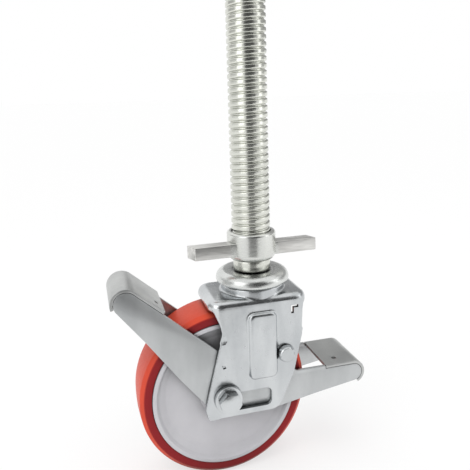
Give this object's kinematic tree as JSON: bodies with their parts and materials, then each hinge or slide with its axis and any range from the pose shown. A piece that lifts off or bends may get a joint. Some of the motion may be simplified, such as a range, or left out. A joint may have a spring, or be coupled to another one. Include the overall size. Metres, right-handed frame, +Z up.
{
  "type": "scaffold castor",
  "caption": "Height-adjustable scaffold castor: threaded hollow spindle with a wing nut, swivelling pressed fork, brake and release pedals on a rocker, and a wheel with a soft tyre.",
  "frame": {"origin": "the point of the floor that lies on the swivel axis, under the spindle", "axes": "+Z up along the spindle, +X from the brake pedal to the release pedal, so the wheel trails towards -X and turns about Y"},
  "size_m": [0.2268, 0.0872, 0.48],
  "materials": {
    "zinc_thread": "zinc plated, satin",
    "zinc_bright": "bright zinc plated",
    "zinc_dull": "dull zinc plated",
    "steel_inner": "plain steel",
    "nylon": "semi-clear nylon",
    "red_tyre": "smooth moulded"
  },
  "bodies": {
    "spindle": {"spindle": "zinc_thread", "swivel_cap": "zinc_bright", "kingpin": "steel_inner", "lower_race": "steel_inner"},
    "nut": {"adjusting_nut": "zinc_bright"},
    "fork": {"fork_housing": "zinc_bright", "pivot_pin_near": "zinc_bright", "pivot_pin_far": "zinc_bright", "upper_ball_ring": "steel_inner", "lower_ball_ring": "steel_inner"},
    "rocker": {"rocker_arm_near": "zinc_dull", "rocker_arm_far": "zinc_dull", "brake_pedal": "zinc_dull", "release_pedal": "zinc_dull"},
    "axle": {"axle_bolt": "zinc_bright", "axle_locknut": "zinc_bright", "axle_collar_near": "zinc_bright", "axle_collar_far": "zinc_bright", "axle_sleeve": "steel_inner"},
    "wheel": {"wheel_hub": "nylon", "tyre": "red_tyre", "wheel_bearing": "steel_inner"}
  },
  "joints": [
    {"name": "nut_travel", "type": "slide", "parent": "spindle", "child": "nut", "axis": [0, 0, 1], "range_m": [0, 0.22]},
    {"name": "swivel", "type": "hinge", "parent": "spindle", "child": "fork", "pos_m": [0, 0, 0.1605], "axis": [0, 0, 1], "continuous": true},
    {"name": "rocker_tilt", "type": "hinge", "parent": "fork", "child": "rocker", "pos_m": [0.02, 0, 0.108], "axis": [0, -1, 0], "range_deg": [0, 31]},
    {"name": "axle_travel", "type": "slide", "parent": "fork", "child": "axle", "axis": [0.9872, 0, -0.1596], "range_m": [0, 0.0339]},
    {"name": "wheel_spin", "type": "hinge", "parent": "axle", "child": "wheel", "pos_m": [-0.0334, 0, 0.075], "axis": [0, 1, 0], "continuous": true}
  ],
  "couplings": [
    {"joint": "axle_travel", "follows": "rocker_tilt", "m_per_rad": 0.062533}
  ]
}
